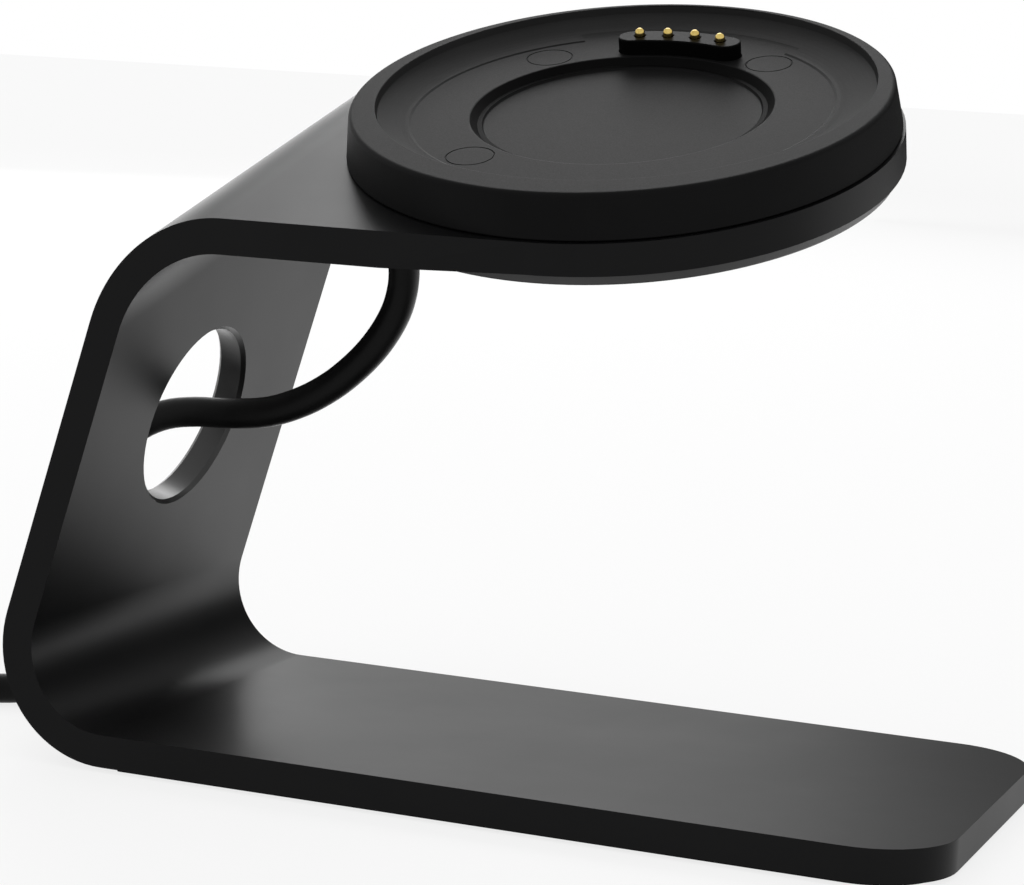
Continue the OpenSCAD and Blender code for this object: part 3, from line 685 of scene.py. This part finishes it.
def boot(name, node, length, tip_r, foot_r, grooves, frame_of, collar=0):
    """Soft tapered sleeve with ring grooves. A collar is a thicker last part at its foot."""
    def side(z):
        return tip_r + (foot_r - tip_r) * z / length
    free = length - 1.2 if collar else length
    step = (free - 1.6) / grooves
    half = 0.17 * step
    corners = [((0, 0), 0), ((tip_r, 0), 0.3)]
    for k in range(grooves):
        z = 1.2 + (k + 0.5) * step
        corners += [((side(z - half), z - half), 0.1), ((side(z) - 0.35, z - half), 0.1),
                    ((side(z) - 0.35, z + half), 0.1), ((side(z + half), z + half), 0.1)]
    if collar:
        corners += [((side(free), free), 0.1), ((collar, free), 0.3), ((collar, length), 0.1)]
    else:
        corners += [((foot_r, length), 0.1)]
    corners += [((0, length), 0)]
    mesh = turned(name, rounded([c for c, _ in corners], [r for _, r in corners], 4), 72, frame_of)
    piece = new_piece(name, mesh, JACKET)
    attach(piece, "dock")
    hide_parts(node)


def make_relief():
    back = ARM.inverted()
    places = [back @ v.co for v in NODES["strain_relief"].data.vertices]
    low = [min(p[i] for p in places) for i in range(3)]
    high = [max(p[i] for p in places) for i in range(3)]
    foot = ARM @ Matrix.Translation(Vector(((low[0] + high[0]) / 2, (low[1] + high[1]) / 2, low[2])))
    boot("cable_boot", "strain_relief", 6, 2.05, 2.5, 3, foot, 2.8)


def repeated(name, unit, places, material):
    """Copies of one small mesh at the given places, in metres, as one piece."""
    part = bpy.data.objects.new(name + "_unit", unit)
    bpy.context.scene.collection.objects.link(part)
    group = bpy.data.node_groups.new(name, "GeometryNodeTree")
    group.interface.new_socket("Geometry", in_out="INPUT", socket_type="NodeSocketGeometry")
    group.interface.new_socket("Geometry", in_out="OUTPUT", socket_type="NodeSocketGeometry")
    start = group.nodes.new("NodeGroupInput")
    info = group.nodes.new("GeometryNodeObjectInfo")
    info.inputs["Object"].default_value = part
    spread = group.nodes.new("GeometryNodeInstanceOnPoints")
    real = group.nodes.new("GeometryNodeRealizeInstances")
    paint = group.nodes.new("GeometryNodeSetMaterial")
    paint.inputs["Material"].default_value = material
    end = group.nodes.new("NodeGroupOutput")
    group.links.new(start.outputs[0], spread.inputs["Points"])
    group.links.new(info.outputs["Geometry"], spread.inputs["Instance"])
    group.links.new(spread.outputs[0], real.inputs[0])
    group.links.new(real.outputs[0], paint.inputs["Geometry"])
    group.links.new(paint.outputs[0], end.inputs[0])
    row = bpy.data.objects.new(name, mesh_from(name, places, []))
    bpy.context.scene.collection.objects.link(row)
    row.modifiers.new("repeat", "NODES").node_group = group
    baked(row)
    bpy.data.objects.remove(part)
    return row


def joined(piece, extra):
    work = bmesh.new()
    work.from_mesh(piece.data)
    work.from_mesh(extra.data)
    work.to_mesh(piece.data)
    work.free()
    bpy.data.objects.remove(extra)
    return piece


def make_plug():
    start = cable_path()[-1]
    along = Matrix(((0, 0, -1, start.x), (-1, 0, 0, start.y), (0, 1, 0, start.z), (0, 0, 0, 1)))
    boot("plug_boot", "plug_sleeve", 7, 2.05, 2.8, 4, along)
    housing = copy_of("plug_housing", "plug_body", PLUG_BLACK)
    bevelled(housing, 0.5 * MM, 4)
    baked(housing)
    rib = rounded([(0, -1.9), (0.35, -1.9), (0.35, 1.9), (0, 1.9)], 0.3)
    rows = [start + Vector((-9.6 - 1.3 * k, side * 7.35, 0)) * MM for side in (-1, 1) for k in range(8)]
    ribs = repeated("plug_ribs", turned("rib", rib, 16, Matrix.Identity(4)), rows, PLUG_BLACK)
    joined(housing, ribs)
    housing.data.shade_smooth()
    housing.data.set_sharp_from_angle(angle=math.radians(50))
    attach(housing, "dock")
    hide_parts("plug_housing")


def soften(node, name, material, width):
    """Piece with the CAD node's shape and small rounded edges."""
    piece = copy_of(node, name, material)
    bevelled(piece, width * MM, 3)
    baked(piece)
    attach(piece, "dock")
    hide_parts(node)


# Stage

def light(name, place, size, power, target=(0, 0, 0.03), colour=(1, 1, 1)):
    lamp = bpy.data.lights.new(name, "AREA")
    lamp.shape = "RECTANGLE"
    lamp.size, lamp.size_y = size
    lamp.energy = power
    lamp.color = colour
    body = bpy.data.objects.new(name, lamp)
    body.location = place
    body.rotation_euler = (Vector(target) - Vector(place)).to_track_quat("-Z", "Y").to_euler()
    bpy.context.scene.collection.objects.link(body)
    return body


def white_when_seen(tree, plain, share):
    """Mixes a plain shader with pure white where the camera, gloss or glass looks at it."""
    path = tree.nodes.new("ShaderNodeLightPath")
    seen = tree.nodes.new("ShaderNodeMath")
    seen.operation = "MAXIMUM"
    tree.links.new(path.outputs["Is Camera Ray"], seen.inputs[0])
    clear = tree.nodes.new("ShaderNodeMath")
    clear.operation = "MAXIMUM"
    tree.links.new(path.outputs["Is Glossy Ray"], clear.inputs[0])
    tree.links.new(path.outputs["Is Transmission Ray"], clear.inputs[1])
    tree.links.new(clear.outputs[0], seen.inputs[1])
    part = tree.nodes.new("ShaderNodeMath")
    part.operation = "MULTIPLY"
    part.inputs[1].default_value = share
    tree.links.new(seen.outputs[0], part.inputs[0])
    mix = tree.nodes.new("ShaderNodeMixShader")
    tree.links.new(part.outputs[0], mix.inputs["Fac"])
    tree.links.new(plain, mix.inputs[1])
    return mix


def make_floor():
    size = 3.0
    mesh = mesh_from("floor", [(-size, -size, 0), (size, -size, 0), (size, size, 0), (-size, size, 0)], [[0, 1, 2, 3]])
    material = bpy.data.materials.new("pale_floor")
    material.use_nodes = True
    tree = material.node_tree
    shader = tree.nodes["Principled BSDF"]
    shader.inputs["Base Color"].default_value = (0.86, 0.86, 0.86, 1)
    shader.inputs["Roughness"].default_value = 0.9
    shader.inputs["Specular IOR Level"].default_value = 0.1
    white = tree.nodes.new("ShaderNodeEmission")
    mix = white_when_seen(tree, shader.outputs[0], 0.8)
    tree.links.new(white.outputs[0], mix.inputs[2])
    tree.links.new(mix.outputs[0], tree.nodes["Material Output"].inputs["Surface"])
    floor = bpy.data.objects.new("floor", mesh)
    floor.location.z = -0.00004
    mesh.materials.append(material)
    bpy.context.scene.collection.objects.link(floor)


def make_world():
    world = bpy.data.worlds.new("studio")
    world.use_nodes = True
    tree = world.node_tree
    tree.nodes.clear()
    out = tree.nodes.new("ShaderNodeOutputWorld")
    plain = tree.nodes.new("ShaderNodeBackground")
    plain.inputs["Color"].default_value = (0.85, 0.85, 0.85, 1)
    white = tree.nodes.new("ShaderNodeBackground")
    white.inputs["Color"].default_value = (1, 1, 1, 1)
    mix = white_when_seen(tree, plain.outputs[0], 1.0)
    tree.links.new(white.outputs[0], mix.inputs[2])
    tree.links.new(mix.outputs[0], out.inputs["Surface"])
    bpy.context.scene.world = world


def make_flag():
    """Dark card behind and to the right of the dock, which the base's right end mirrors."""
    corners = [(-0.22, 0.95, 0.0), (0.9, 0.75, 0.0), (0.9, 0.75, 0.5), (-0.22, 0.95, 0.5)]
    material = bpy.data.materials.new("flag_cloth")
    material.use_nodes = True
    shader = material.node_tree.nodes["Principled BSDF"]
    shader.inputs["Base Color"].default_value = (0.01, 0.01, 0.01, 1)
    shader.inputs["Roughness"].default_value = 1.0
    mesh = mesh_from("flag", corners, [[0, 1, 2, 3]])
    mesh.materials.append(material)
    flag = bpy.data.objects.new("flag", mesh)
    bpy.context.scene.collection.objects.link(flag)
    flag.visible_camera = False
    flag.visible_shadow = False


def make_lights():
    light("overhead", (-0.30, 0.70, 0.62), (0.42, 0.42), 2.2)
    light("back_left", (-0.62, 0.78, 0.24), (0.38, 0.32), 0.7)
    bounce = light("floor_bounce", (0.08, 0.21, 0.002), (0.34, 0.34), 0.42, (0.08, 0.21, 1))
    bounce.visible_camera = False
    bounce.visible_diffuse = False


aim_camera()
make_cable()
dress_nodes()
make_stand()
make_cradle()
make_block()
make_cover()
make_relief()
make_plug()
soften("cable_tie", "soft_band", PAD, 0.25)
soften("base_pad", "foot_pad", PAD, 0.12)
make_floor()
make_world()
make_flag()
make_lights()
bpy.context.scene.view_settings.view_transform = "Standard"
